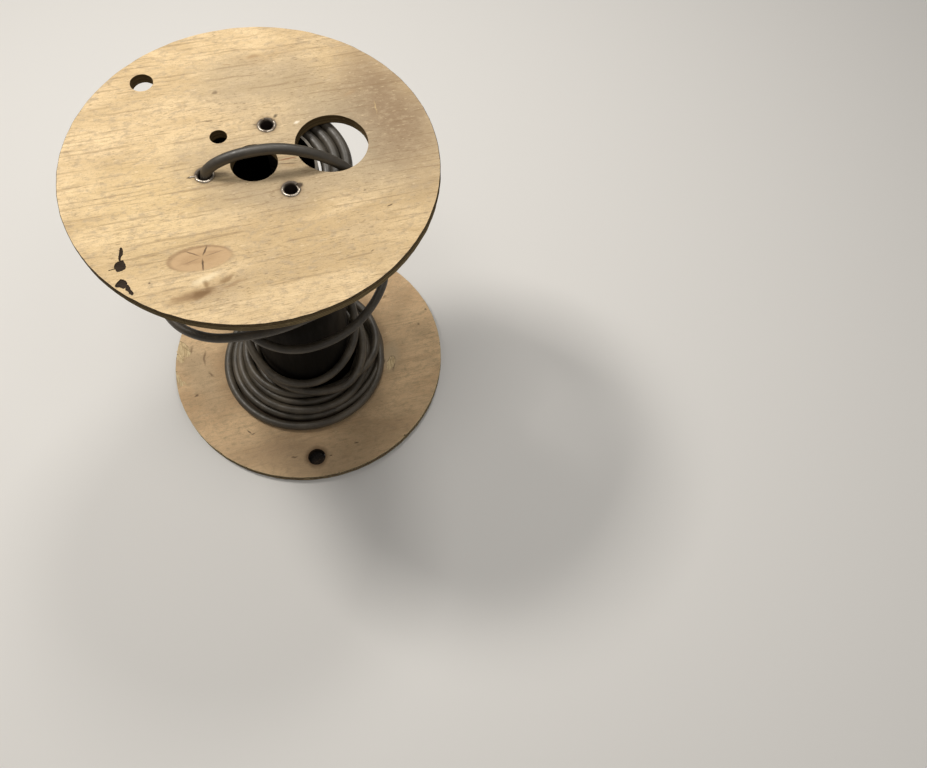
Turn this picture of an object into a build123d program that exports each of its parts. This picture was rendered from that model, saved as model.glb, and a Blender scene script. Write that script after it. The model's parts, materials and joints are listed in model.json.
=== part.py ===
from build123d import *
import math
import os

# Wooden cable drum, standing on its lower flange, with a length of loose cable left on it.
# Frame: millimetres, origin at the middle of the underside, +Z up the drum's axis,
# +X towards the large start hole of the upper flange. Angles are measured from +X.

# Flanges: two sawn plywood discs
flange_diameter = 406.4
flange_thickness = 12.7
flange_edge_break = 0.6
traverse = 450.9

# Holes through the flanges
arbor_diameter = 51.0
start_hole_diameter = 81.0
start_hole_circle_radius = 87.3
drive_hole_diameter = 25.4
drive_hole_rim_width = 18.5
drive_hole_angle_upper = 120.5
drive_hole_angle_lower = -104.0
spare_hole_diameter = 19.0
spare_hole_angle = 120.0

# Barrel: a plain tube let into a ring groove of each flange
barrel_diameter = 134.0
barrel_wall = 3.0
groove_depth = 2.5
groove_clearance = 0.2

# Tie tubes: three hollow steel ties, flared over both flanges
tie_angles = {"a": 60.0, "b": 180.0, "c": 300.0}
tie_barrel_clearance = 1.5
tie_diameter = 17.0
tie_bore = 14.6
tie_hole_clearance = 0.3
lip_diameter = 21.0
lip_height = 1.4
lip_bevel = 0.5
mouth_flare = 0.9

# Cable
cable_diameter = 12.0
cable_clearance = 0.3
top_coil_rows = 3
top_coil_layers = 2
coil_pitch = 13.0
coil_edge_bevel = 4.0
pile_foot_far_radius = 139.0
pile_foot_near_radius = 112.0
pile_foot_angle = -150.0
pile_foot_height = 12.5
pile_crown_radius = 98.0
pile_crown_height = 35.3

# Heights and radii that follow from the sizes above
flange_radius = flange_diameter / 2
barrel_radius = barrel_diameter / 2
cable_radius = cable_diameter / 2
tie_circle_radius = barrel_radius - barrel_wall - tie_barrel_clearance - tie_diameter / 2
drive_hole_circle_radius = flange_radius - drive_hole_rim_width - drive_hole_diameter / 2
upper_underside = flange_thickness + traverse
overall_height = upper_underside + flange_thickness

# The tail: out of tie tube b, over the arbor and down the start hole, as (x, y, z)
tail_route = [
    (-54.0, 0.0, 458.0),
    (-54.0, 0.0, 480.0),
    (-43.0, -2.0, 497.0),
    (-14.0, -6.5, 508.0),
    (24.0, -13.5, 508.5),
    (62.0, -22.0, 496.0),
    (84.0, -27.5, 479.0),
    (94.5, -31.0, 468.0),
]

# The loose turns, clockwise and downwards, as (angle, radius, height): one wide loop that
# drops away behind the barrel, one turn below it, and one that slants into the pile
loose_route = [
    (140, 116, 449),
    (112, 116, 448),
    (85, 120, 442),
    (55, 128, 428),
    (24, 137, 401),
    (-8, 144, 367),
    (-37, 147, 336),
    (-62, 146, 313),
    (-87, 122, 299),
    (-112, 115, 292),
    (-138, 134, 285),
    (-160, 156, 278),
    (178, 160, 270),
    (150, 150, 258),
    (118, 138, 244),
    (84, 128, 231),
    (50, 120, 221),
    (14, 115, 213),
    (-24, 110, 208),
    (-62, 103, 203),
    (-100, 95, 200),
    (-138, 88, 195),
    (-177, 84, 188),
    (143, 83, 179),
    (101, 83, 166),
    (59, 83, 150),
    (16, 83, 128),
    (-26, 81, 102),
    (-64, 79, 79),
    (-101, 79, 63),
    (-140, 84, 74),
    (177, 84, 98),
    (135, 84, 107),
    (92, 84, 101),
    (50, 84, 87),
    (10, 86, 72),
    (-31, 90, 60),
    (-64, 100, 55),
]


def polar(angle, radius, height):
    """A point from its angle round the drum, its distance from the axis and its height."""
    turn = math.radians(angle)
    return Vector(radius * math.cos(turn), radius * math.sin(turn), height)


def ring(outer_radius, inner_radius, bottom, height):
    """A plain ring on the drum's axis, standing on the given height."""
    outer = Cylinder(outer_radius, height, align=(Align.CENTER, Align.CENTER, Align.MIN))
    inner = Cylinder(inner_radius, height, align=(Align.CENTER, Align.CENTER, Align.MIN))
    return Pos(0, 0, bottom) * (outer - inner)


def upright_hole(place, diameter, bottom, height):
    """The solid that a hole or a round pocket removes."""
    cutter = Cylinder(diameter / 2, height, align=(Align.CENTER, Align.CENTER, Align.MIN))
    return Pos(place.X, place.Y, bottom) * cutter


def blank_flange(bottom):
    """A sawn disc with its sharp arrises taken off, the arbor hole and the tie holes."""
    disc = Cylinder(flange_radius, flange_thickness, align=(Align.CENTER, Align.CENTER, Align.MIN))
    disc = chamfer(disc.edges().filter_by(GeomType.CIRCLE), flange_edge_break)
    disc = Pos(0, 0, bottom) * disc
    disc -= upright_hole(Vector(0, 0), arbor_diameter, bottom, flange_thickness)
    for angle in tie_angles.values():
        place = polar(angle, tie_circle_radius, 0)
        disc -= upright_hole(place, tie_diameter + tie_hole_clearance, bottom, flange_thickness)
    return disc


def barrel_groove(bottom):
    """The ring groove that a barrel end sits in."""
    return ring(
        barrel_radius + groove_clearance,
        barrel_radius - barrel_wall - groove_clearance,
        bottom,
        groove_depth,
    )


def lower_flange():
    """The flange on the floor. Its underside is pocketed for the flared tie ends."""
    flange = blank_flange(0) - barrel_groove(flange_thickness - groove_depth)
    for angle in tie_angles.values():
        place = polar(angle, tie_circle_radius, 0)
        flange -= upright_hole(place, lip_diameter + tie_hole_clearance, 0, lip_height)
    drive = polar(drive_hole_angle_lower, drive_hole_circle_radius, 0)
    return flange - upright_hole(drive, drive_hole_diameter, 0, flange_thickness)


def upper_flange():
    """The flange on top, with the large hole that the cable's start comes through."""
    flange = blank_flange(upper_underside) - barrel_groove(upper_underside)
    holes = (
        (Vector(start_hole_circle_radius, 0), start_hole_diameter),
        (polar(drive_hole_angle_upper, drive_hole_circle_radius, 0), drive_hole_diameter),
        (polar(spare_hole_angle, tie_circle_radius, 0), spare_hole_diameter),
    )
    for place, diameter in holes:
        flange -= upright_hole(place, diameter, upper_underside, flange_thickness)
    return flange


def barrel():
    """The tube that the cable is wound on, its ends down in the two grooves."""
    bottom = flange_thickness - groove_depth
    return ring(barrel_radius, barrel_radius - barrel_wall, bottom, traverse + 2 * groove_depth)


def tie_tube(angle):
    """A hollow tie, its lower lip in its pocket and its upper lip over the upper flange."""
    bore = tie_bore / 2
    wall = tie_diameter / 2
    lip = lip_diameter / 2
    top = overall_height + lip_height
    section = Polyline(
        (bore, mouth_flare),
        (bore + mouth_flare, 0),
        (lip - lip_bevel, 0),
        (lip, lip_bevel),
        (lip, lip_height),
        (wall, lip_height),
        (wall, overall_height),
        (lip, overall_height),
        (lip, top - lip_bevel),
        (lip - lip_bevel, top),
        (bore + mouth_flare, top),
        (bore, top - mouth_flare),
        close=True,
    )
    tube = revolve(Plane.XZ * make_face(section), Axis.Z)
    place = polar(angle, tie_circle_radius, 0)
    return Pos(place.X, place.Y, 0) * tube


def cable_tube(name, points):
    """A length of cable along straight runs joined by the largest arcs that they allow."""
    runs = [after - before for before, after in zip(points, points[1:])]
    radii = []
    for before, after in zip(runs, runs[1:]):
        half_turn = math.radians(before.get_angle(after)) / 2
        radii.append(0.45 * min(before.length, after.length) / math.tan(half_turn))
    path = FilletPolyline(*points, radius=radii)
    start = Plane(origin=points[0], z_dir=runs[0])
    tube = sweep(start * Circle(cable_radius), path=path.wire())
    expected = math.pi * cable_radius**2 * path.length
    print(name, "length", round(path.length), "mm, tightest arc", round(min(radii)), "mm")
    print(name, "arc radii", [round(radius) for radius in radii])
    print(name, "volume against section times length", round(tube.volume / expected, 4))
    return tube


def cable_tail():
    """The start of the cable, tucked into tie tube b and led down the start hole."""
    return cable_tube("cable_tail", [Vector(*point) for point in tail_route])


def cable_loose_turns():
    """The wide loop, the turn below it and the slanting turn above the pile."""
    return cable_tube("cable_loose_turns", [polar(*point) for point in loose_route])


def cable_top_coil():
    """The outer shape of the turns wound on the barrel close under the upper flange."""
    reach = barrel_radius + cable_clearance + top_coil_rows * coil_pitch
    depth = (top_coil_layers - 1) * coil_pitch + cable_diameter
    bottom = upper_underside - cable_clearance - depth
    coil = ring(reach, barrel_radius + cable_clearance, bottom, depth)
    outer_edges = coil.edges().filter_by(GeomType.CIRCLE).sort_by(SortBy.RADIUS)[-2:]
    return chamfer(outer_edges, coil_edge_bevel)


def cable_pile():
    """The outer shape of the turns heaped round the barrel, spilling over to one side."""
    foot_radius = (pile_foot_far_radius + pile_foot_near_radius) / 2
    foot_offset = (pile_foot_far_radius - pile_foot_near_radius) / 2
    foot_middle = polar(pile_foot_angle, foot_offset, flange_thickness)
    foot = Cylinder(foot_radius, pile_foot_height, align=(Align.CENTER, Align.CENTER, Align.MIN))
    shoulder = Pos(foot_middle.X, foot_middle.Y, flange_thickness + pile_foot_height) * Circle(foot_radius)
    crown = Pos(0, 0, flange_thickness + pile_crown_height) * Circle(pile_crown_radius)
    pile = Pos(foot_middle.X, foot_middle.Y, flange_thickness) * foot
    pile += loft([shoulder, crown], ruled=True)
    return pile - upright_hole(
        Vector(0, 0),
        barrel_diameter + 2 * cable_clearance,
        flange_thickness,
        pile_crown_height,
    )


def main():
    """Build every piece and write each to its own file."""
    pieces = {
        "flange_lower": lower_flange(),
        "flange_upper": upper_flange(),
        "barrel": barrel(),
        "cable_tail": cable_tail(),
        "cable_top_coil": cable_top_coil(),
        "cable_loose_turns": cable_loose_turns(),
        "cable_pile": cable_pile(),
    }
    for letter, angle in tie_angles.items():
        pieces[f"tie_tube_{letter}"] = tie_tube(angle)
    os.makedirs("parts", exist_ok=True)
    for name, piece in pieces.items():
        export_step(piece, f"parts/{name}.step")


main()
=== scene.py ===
"""Dresses the wooden cable drum: plywood, ties, barrel and one long loose cable.

Everything is in metres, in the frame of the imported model: origin under the middle of the
lower flange, +Z up the drum's axis and +X towards the large start hole of the upper flange.
"""

import json
import logging
import math
from dataclasses import dataclass, field
from enum import Enum, IntEnum

import bpy
from mathutils import Matrix, Vector, noise

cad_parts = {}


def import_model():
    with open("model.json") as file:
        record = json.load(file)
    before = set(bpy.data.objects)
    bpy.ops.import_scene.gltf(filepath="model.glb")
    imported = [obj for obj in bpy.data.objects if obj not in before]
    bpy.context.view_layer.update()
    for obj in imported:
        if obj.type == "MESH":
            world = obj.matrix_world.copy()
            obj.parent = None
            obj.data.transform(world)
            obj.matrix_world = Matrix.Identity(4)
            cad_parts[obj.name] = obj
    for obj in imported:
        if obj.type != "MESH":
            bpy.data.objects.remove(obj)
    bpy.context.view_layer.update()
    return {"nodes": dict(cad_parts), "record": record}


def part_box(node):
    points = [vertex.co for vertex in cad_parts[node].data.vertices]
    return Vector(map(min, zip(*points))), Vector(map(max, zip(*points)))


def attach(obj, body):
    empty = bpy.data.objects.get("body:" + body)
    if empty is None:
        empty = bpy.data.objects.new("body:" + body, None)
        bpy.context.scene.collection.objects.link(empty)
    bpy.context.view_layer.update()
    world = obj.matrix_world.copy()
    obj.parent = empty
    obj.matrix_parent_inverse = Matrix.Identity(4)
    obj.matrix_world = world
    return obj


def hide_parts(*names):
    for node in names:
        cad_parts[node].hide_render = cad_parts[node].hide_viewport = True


LOG = logging.getLogger("cable_drum")
MM = 0.001
BODY = "root"
NOISE_SEED = 11
OVERCUT = 0.01
Point = tuple[float, float, float]
Colour = tuple[float, float, float, float]


class Bend(Enum):
    """How far noise bends the outline of a mark on a face."""

    CRISP = "crisp"
    RAGGED = "ragged"
    CLOUDY = "cloudy"


class Skin(IntEnum):
    """The material slots of a flange."""

    FACE = 0
    EDGE = 1
    TORN = 2


def polar(angle: float, radius: float, height: float) -> Vector:
    """A point in metres from an angle in degrees and a radius and height in millimetres."""
    turn = math.radians(angle)
    return Vector((radius * math.cos(turn), radius * math.sin(turn), height)) * MM


def smoothstep(share: float) -> float:
    """Ease from 0 to 1 with level ends."""
    share = min(max(share, 0.0), 1.0)
    return share * share * (3.0 - 2.0 * share)


@dataclass(frozen=True)
class Spot:
    """An oval place on a face: a hole, a chip or a patch, in millimetres and degrees."""

    x: float
    y: float
    length: float
    width: float
    turn: float = 0.0

    @property
    def place(self) -> Vector:
        """Its middle, in metres, at the height of the floor."""
        return Vector((self.x, self.y, 0.0)) * MM

    def fit(self, height: float, rise: float) -> dict:
        """The arguments that fit a unit primitive to it.

        Args:
            height: The height of the primitive's middle, in metres.
            rise: Its scale along Z.

        Returns:
            The place, turn and scale.
        """
        return {
            "location": (self.x * MM, self.y * MM, height),
            "rotation": (0.0, 0.0, math.radians(self.turn)),
            "scale": (self.length * MM, self.width * MM, rise),
        }


@dataclass(frozen=True)
class Mark:
    """One of the stains, cracks, worn places and painted shades that a finish draws on a face."""

    spot: Spot
    colour: Colour
    strength: float
    core: float
    bend: Bend

    @staticmethod
    def listed(*rows: tuple) -> "list[Mark]":
        """Marks from rows of a spot's five numbers, a colour, a strength, a core and a bend."""
        return [Mark(Spot(*row[:5]), *row[5:]) for row in rows]


@dataclass(frozen=True)
class Turn:
    """One turn of the cable round the barrel, in millimetres and degrees."""

    radius: float
    height: float
    aside: float = 0.0
    aside_to: float = -150.0
    lean: float = 0.0
    lean_to: float = 0.0

    def at(self, angle: float) -> Vector:
        """Where the turn runs at an angle in degrees, in metres."""
        rise = self.lean * math.cos(math.radians(angle - self.lean_to))
        return polar(angle, self.radius, self.height + rise) + polar(self.aside_to, self.aside, 0.0)


class Modeller:
    """Short names for the modelling operators that the pieces are made with."""

    @staticmethod
    def clear_selection() -> None:
        """Leave edit mode and deselect every object."""
        if bpy.context.object and bpy.context.object.mode != "OBJECT":
            bpy.ops.object.mode_set(mode="OBJECT")
        bpy.ops.object.select_all(action="DESELECT")

    @staticmethod
    def pick(piece: bpy.types.Object) -> None:
        """Make one object the only selected and the active one.

        Args:
            piece: The object to pick.
        """
        Modeller.clear_selection()
        piece.select_set(True)
        bpy.context.view_layer.objects.active = piece

    @staticmethod
    def settle(piece: bpy.types.Object) -> None:
        """Apply the object's place, turn and scale to its mesh."""
        Modeller.pick(piece)
        bpy.ops.object.transform_apply(location=True, rotation=True, scale=True)

    @staticmethod
    def apply(piece: bpy.types.Object, kind: str, **settings: object) -> None:
        """Add one modifier, set it up and apply it.

        Args:
            piece: The object to change.
            kind: Blender's name of the modifier type.
            **settings: The modifier's values.
        """
        Modeller.pick(piece)
        modifier = piece.modifiers.new(kind.title(), kind)
        for name, value in settings.items():
            setattr(modifier, name, value)
        bpy.ops.object.modifier_apply(modifier=modifier.name)

    @staticmethod
    def cylinder(spot: Spot, low: float, high: float, sides: int) -> bpy.types.Object:
        """Add an upright oval cylinder, its place applied to its mesh.

        Args:
            spot: Its outline.
            low: The height of its foot.
            high: The height of its top.
            sides: The number of its sides.

        Returns:
            The new object.
        """
        Modeller.clear_selection()
        placed = spot.fit((low + high) / 2, 1.0)
        bpy.ops.mesh.primitive_cylinder_add(vertices=sides, radius=1.0, depth=high - low, **placed)
        piece = bpy.context.object
        Modeller.settle(piece)
        return piece

    @staticmethod
    def drawn(
        name: str, rings: list[tuple[float, float]], sides: int, fill: str = "NOTHING"
    ) -> bpy.types.Object:
        """Extrude a circle from ring to ring.

        Args:
            name: The object's name.
            rings: Radius and height of each ring, in metres.
            sides: The number of its sides.
            fill: Blender's name of the way the first ring is filled.

        Returns:
            The new object.
        """
        Modeller.clear_selection()
        radius, height = rings[0]
        middle = (0.0, 0.0, height)
        bpy.ops.mesh.primitive_circle_add(vertices=sides, radius=radius, fill_type=fill, location=middle)
        piece = bpy.context.object
        piece.name = name
        Modeller.settle(piece)
        bpy.ops.object.mode_set(mode="EDIT")
        bpy.ops.mesh.select_all(action="SELECT")
        for after, top in rings[1:]:
            bpy.ops.mesh.extrude_region_move(TRANSFORM_OT_translate={"value": (0.0, 0.0, top - height)})
            share = after / radius
            bpy.ops.transform.resize(value=(share, share, 1.0), center_override=(0.0, 0.0, 0.0))
            radius, height = after, top
        bpy.ops.mesh.select_all(action="SELECT")
        bpy.ops.mesh.remove_doubles(threshold=0.00001)
        bpy.ops.mesh.normals_make_consistent(inside=False)
        bpy.ops.object.mode_set(mode="OBJECT")
        return piece

    @staticmethod
    def turned(name: str, place: Vector, profile: list[tuple[float, float]], sides: int) -> bpy.types.Object:
        """Make a closed ring by drawing a circle once round a profile.

        Args:
            name: The object's name.
            place: The ring's axis, of which only x and y are read.
            profile: Radius and height of each step, in metres, once round the section.
            sides: The number of its sides.

        Returns:
            The new object.
        """
        piece = Modeller.drawn(name, [*profile, profile[0]], sides)
        piece.location = (place.x, place.y, 0.0)
        Modeller.settle(piece)
        return piece

    @staticmethod
    def roughen(piece: bpy.types.Object, reach: float, size: float, lift: float = 0.0) -> None:
        """Push each vertex sideways by smooth noise, as sawing, knocks and tearing leave it.

        Args:
            piece: The object to roughen.
            reach: The furthest push, in metres.
            size: The size of the noise's bumps, in metres.
            lift: The furthest push up or down, in metres.
        """
        for vertex in piece.data.vertices:
            push = noise.noise_vector(vertex.co / size)
            vertex.co += Vector((push.x * reach, push.y * reach, push.z * lift))

    @staticmethod
    def bead(name: str, spot: Spot, height: float, thickness: float, fine: int = 3) -> bpy.types.Object:
        """Add a flattened ball.

        Args:
            name: The object's name.
            spot: Its outline from above.
            height: The height of its middle.
            thickness: Half its height, in metres.
            fine: How finely it is divided.

        Returns:
            The new object.
        """
        Modeller.clear_selection()
        placed = spot.fit(height, thickness)
        bpy.ops.mesh.primitive_ico_sphere_add(subdivisions=fine, radius=1.0, **placed)
        piece = bpy.context.object
        piece.name = name
        Modeller.settle(piece)
        return piece

    @staticmethod
    def join(body: bpy.types.Object, others: list[bpy.types.Object]) -> None:
        """Join pieces into one.

        Args:
            body: The object that the others become part of.
            others: The objects that are joined to it.
        """
        Modeller.pick(body)
        for piece in others:
            piece.select_set(True)
        bpy.ops.object.join()

    @staticmethod
    def carve(piece: bpy.types.Object, cutter: bpy.types.Object) -> None:
        """Cut one object out of another and delete the cutter."""
        Modeller.apply(piece, "BOOLEAN", operation="DIFFERENCE", solver="EXACT", object=cutter)
        bpy.data.objects.remove(cutter)

    @staticmethod
    def smooth(piece: bpy.types.Object, angle: float) -> None:
        """Shade smooth, but for the edges that are sharper than an angle in degrees."""
        Modeller.pick(piece)
        bpy.ops.object.shade_smooth_by_angle(angle=math.radians(angle))


@dataclass
class Board:
    """A material's node tree, with a short method for each kind of node."""

    material: bpy.types.Material
    shader: bpy.types.Node = field(init=False)

    def __post_init__(self) -> None:
        """Start the tree with its shader."""
        self.material.use_nodes = True
        self.shader = self.material.node_tree.nodes["Principled BSDF"]

    def node(self, kind: str, inputs: dict | None = None, **settings: object) -> bpy.types.Node:
        """Add a node.

        Args:
            kind: The node's type.
            inputs: Values or output sockets for its input sockets, by name or number.
            **settings: The node's own properties.

        Returns:
            The new node.
        """
        made = self.material.node_tree.nodes.new(kind)
        for name, value in settings.items():
            setattr(made, name, value)
        for name, value in (inputs or {}).items():
            self.feed(made.inputs[name], value)
        return made

    def feed(self, socket: bpy.types.NodeSocket, value: object) -> None:
        """Link a socket to another, or set its value.

        Args:
            socket: The input socket.
            value: An output socket, or a plain value.
        """
        if isinstance(value, bpy.types.NodeSocket):
            self.material.node_tree.links.new(value, socket)
        else:
            socket.default_value = value

    def coordinates(self) -> bpy.types.NodeSocket:
        """Object coordinates, in metres."""
        return self.node("ShaderNodeTexCoord").outputs["Object"]

    def along(self, axis: str) -> bpy.types.NodeSocket:
        """The object coordinate along the axis of that letter."""
        return self.node("ShaderNodeSeparateXYZ", {0: self.coordinates()}).outputs[axis]

    def length(self, vector: object) -> bpy.types.NodeSocket:
        """The length of a vector."""
        return self.node("ShaderNodeVectorMath", {0: vector}, operation="LENGTH").outputs["Value"]

    def place(
        self,
        turn: float = 0.0,
        stretch: Point = (1.0, 1.0, 1.0),
        shift: Point = (0.0, 0.0, 0.0),
    ) -> bpy.types.NodeSocket:
        """Object coordinates, turned about Z, stretched and shifted.

        Args:
            turn: The angle in degrees.
            stretch: The scale along each axis.
            shift: The offset.

        Returns:
            The vector socket.
        """
        vector = self.coordinates()
        for inputs in ({"Rotation": (0.0, 0.0, math.radians(turn))}, {"Scale": stretch, "Location": shift}):
            vector = self.node("ShaderNodeMapping", {"Vector": vector, **inputs}).outputs[0]
        return vector

    def noise(
        self,
        vector: object,
        scale: float,
        detail: float = 4.0,
        rough: float = 0.55,
        twist: float = 0.0,
    ) -> bpy.types.NodeSocket:
        """A noise value from 0 to 1.

        Args:
            vector: The coordinates.
            scale: How fine it is.
            detail: How many octaves it has.
            rough: How strong its fine octaves are.
            twist: How far it is distorted.

        Returns:
            The value socket.
        """
        return self.node(
            "ShaderNodeTexNoise",
            {"Vector": vector, "Scale": scale, "Detail": detail, "Roughness": rough, "Distortion": twist},
        ).outputs["Fac"]

    def ramp(
        self,
        value: object,
        low: float,
        high: float,
        start: float = 0.0,
        end: float = 1.0,
    ) -> bpy.types.NodeSocket:
        """A value carried smoothly from one range to another and clamped there.

        Args:
            value: The value to carry over.
            low: The value that gives start.
            high: The value that gives end.
            start: The result at low.
            end: The result at high.

        Returns:
            The value socket.
        """
        return self.node(
            "ShaderNodeMapRange",
            {"Value": value, "From Min": low, "From Max": high, "To Min": start, "To Max": end},
            interpolation_type="SMOOTHSTEP",
        ).outputs["Result"]

    def math(self, operation: str, first: object, second: object = 0.0) -> bpy.types.NodeSocket:
        """One sum of two values, by Blender's name of the operation."""
        return self.node("ShaderNodeMath", {0: first, 1: second}, operation=operation).outputs[0]

    def blend(self, share: object, first: object, second: object) -> bpy.types.NodeSocket:
        """The first colour with a share of the second mixed in."""
        inputs = {"Factor": share, "A": first, "B": second}
        return self.node("ShaderNodeMix", inputs, data_type="RGBA").outputs["Result"]

    def coated(self, colour: object, *coats: tuple) -> bpy.types.NodeSocket:
        """A colour with others laid over it, each where some value is high.

        Args:
            colour: The colour underneath.
            *coats: For each coat its value, where that starts and stops rising, how much of the
                coat shows at most, and the coat's colour.

        Returns:
            The colour socket.
        """
        for value, low, high, most, coat in coats:
            colour = self.blend(self.ramp(value, low, high, 0.0, most), colour, coat)
        return colour

    def bumped(self, bumps: tuple[tuple, ...]) -> bpy.types.NodeSocket:
        """A normal with bumps, each layer laid over the one before it.

        Args:
            bumps: For each layer its height value, its strength and the height of 1 in metres.

        Returns:
            The normal socket.
        """
        below = {}
        for height, strength, depth in bumps:
            inputs = {"Height": height, "Strength": strength, "Distance": depth, **below}
            below = {"Normal": self.node("ShaderNodeBump", inputs).outputs["Normal"]}
        return below["Normal"]

    def surface(
        self, colour: object, rough: object, *bumps: tuple, shine: float = 0.5, metal: object = 0.0
    ) -> None:
        """Feed the shader.

        Args:
            colour: The base colour.
            rough: The roughness.
            *bumps: The layers of bumps, the lowest first.
            shine: The specular level.
            metal: How much of it is bare metal.
        """
        looks = {"Base Color": colour, "Roughness": rough, "Specular IOR Level": shine, "Metallic": metal}
        if bumps:
            looks["Normal"] = self.bumped(bumps)
        for name, value in looks.items():
            self.feed(self.shader.inputs[name], value)

    def bent(self, size: float, reach: float) -> bpy.types.NodeSocket:
        """Object coordinates pushed about by noise.

        Args:
            size: How fine the noise is.
            reach: How far it pushes, in metres.

        Returns:
            The vector socket.
        """
        coordinates = self.coordinates()
        texture = self.node("ShaderNodeTexNoise", {"Vector": coordinates, "Scale": size, "Detail": 4.0})
        push = self.node(
            "ShaderNodeVectorMath",
            {0: texture.outputs["Color"], 1: (reach, reach, 0.0), 2: (-reach / 2, -reach / 2, 0.0)},
            operation="MULTIPLY_ADD",
        ).outputs[0]
        return self.node("ShaderNodeVectorMath", {0: coordinates, 1: push}).outputs[0]

    def oval(self, coordinates: object, spot: Spot) -> bpy.types.NodeSocket:
        """The distance from an oval's middle, 0 there and 1 on its outline.

        Args:
            coordinates: The coordinates that it is measured in.
            spot: The oval.

        Returns:
            The value socket.
        """
        held = self.node(
            "ShaderNodeMapping",
            {
                "Vector": coordinates,
                "Location": spot.place,
                "Rotation": (0.0, 0.0, math.radians(spot.turn)),
                "Scale": (spot.length * MM, spot.width * MM, 100.0),
            },
            vector_type="TEXTURE",
        ).outputs[0]
        return self.length(held)

    def marked(self, colour: object, marks: tuple[Mark, ...]) -> bpy.types.NodeSocket:
        """A colour with marks laid over it, one after the other.

        Args:
            colour: The colour under the marks.
            marks: The marks.

        Returns:
            The colour socket.
        """
        grounds = {
            Bend.CRISP: self.bent(300.0, 0.0016),
            Bend.RAGGED: self.bent(110.0, 0.007),
            Bend.CLOUDY: self.bent(26.0, 0.05),
        }
        for mark in marks:
            away = self.oval(grounds[mark.bend], mark.spot)
            share = self.ramp(away, mark.core, 1.0, mark.strength, 0.0)
            colour = self.blend(share, colour, mark.colour)
        return colour


@dataclass(frozen=True)
class Finish:
    """A named material, which each kind of finish draws in its own way."""

    name: str

    def make(self) -> bpy.types.Material:
        """Build the material.

        Returns:
            The finished material.
        """
        board = Board(bpy.data.materials.new(self.name))
        self.draw(board)
        return board.material

    def draw(self, board: Board) -> None:
        """Leave the shader as it comes, for a finish that says nothing else.

        Args:
            board: The material's node tree.
        """


@dataclass(frozen=True)
class VeneerFace(Finish):
    """The face veneer of the plywood: grain, pores, dust and the marks of its use."""

    pale: Colour
    deep: Colour
    pore: Colour
    dust: Colour
    fleck: Colour
    grain_angle: float
    pores: float
    dirt: float
    mottled: float
    streaked: float
    seed: float
    marks: tuple[Mark, ...]

    def draw(self, board: Board) -> None:
        """Lay the figure, the streaks, the stains, the dust, the pores and the knocks.

        Args:
            board: The material's node tree.
        """
        shift = (self.seed, self.seed * 0.7, 0.0)

        def grain(stretch: float, *texture: float) -> bpy.types.NodeSocket:
            """Noise that is drawn out along the grain."""
            return board.noise(board.place(-self.grain_angle, (1.0, stretch, 1.0), shift), *texture)

        figure = grain(3.2, 5.5, 6.0, 0.58, 0.9)
        lines = grain(15.0, 9.0, 6.0, 0.68, 0.5)
        fibre = grain(12.0, 75.0, 4.0, 0.7)
        pore = grain(8.0, 130.0, 2.0, 0.5, 0.2)
        cloud = grain(1.5, 13.0, 6.0, 0.65)
        streak = grain(5.5, 52.0, 5.0, 0.72, 0.4)
        mottle = grain(1.7, 95.0, 4.0, 0.7)
        vein = grain(26.0, 12.0, 3.0, 0.6, 0.3)
        speck = board.noise(board.place(), 620.0, 3.0, 0.7)
        sparse = board.place(-self.grain_angle, (1.0, 3.4, 1.0), (4.0, self.seed, 0.0))
        fleck = board.noise(sparse, 120.0, 3.0, 0.6)
        stains = tuple(mark for mark in self.marks if mark.bend is Bend.CLOUDY)
        knocks = tuple(mark for mark in self.marks if mark.bend is not Bend.CLOUDY)
        colour = board.coated(
            board.blend(board.ramp(figure, 0.36, 0.66), self.pale, self.deep),
            (lines, 0.46, 0.7, 0.5 * self.streaked, self.deep),
            (streak, 0.48, 0.68, 0.6 * self.streaked, self.deep),
        )
        colour = board.coated(
            board.marked(colour, stains),
            (mottle, 0.46, 0.7, self.mottled, self.dust),
            (vein, 0.57, 0.64, 0.4 * self.streaked, self.pore),
            (fleck, 0.6, 0.7, 0.3, self.fleck),
            (fibre, 0.5, 0.78, 0.35 * self.streaked, self.pore),
            (cloud, 0.48, 0.74, self.dirt, self.dust),
        )
        sown = board.ramp(cloud, 0.36, 0.6, 0.25, 1.0)
        dashes = board.math("MULTIPLY", board.ramp(pore, 0.6, 0.7, 0.0, self.pores), sown)
        colour = board.blend(dashes, colour, self.pore)
        colour = board.coated(colour, (speck, 0.54, 0.75, 0.45, self.pore))
        board.surface(
            board.marked(colour, knocks),
            board.ramp(fibre, 0.3, 0.7, 0.68, 0.86),
            (fibre, 0.45, 0.0004),
            (board.ramp(pore, 0.6, 0.7, 1.0, 0.0), 0.5, 0.0004),
            (lines, 0.3, 0.0012),
            shine=0.22,
        )


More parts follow.
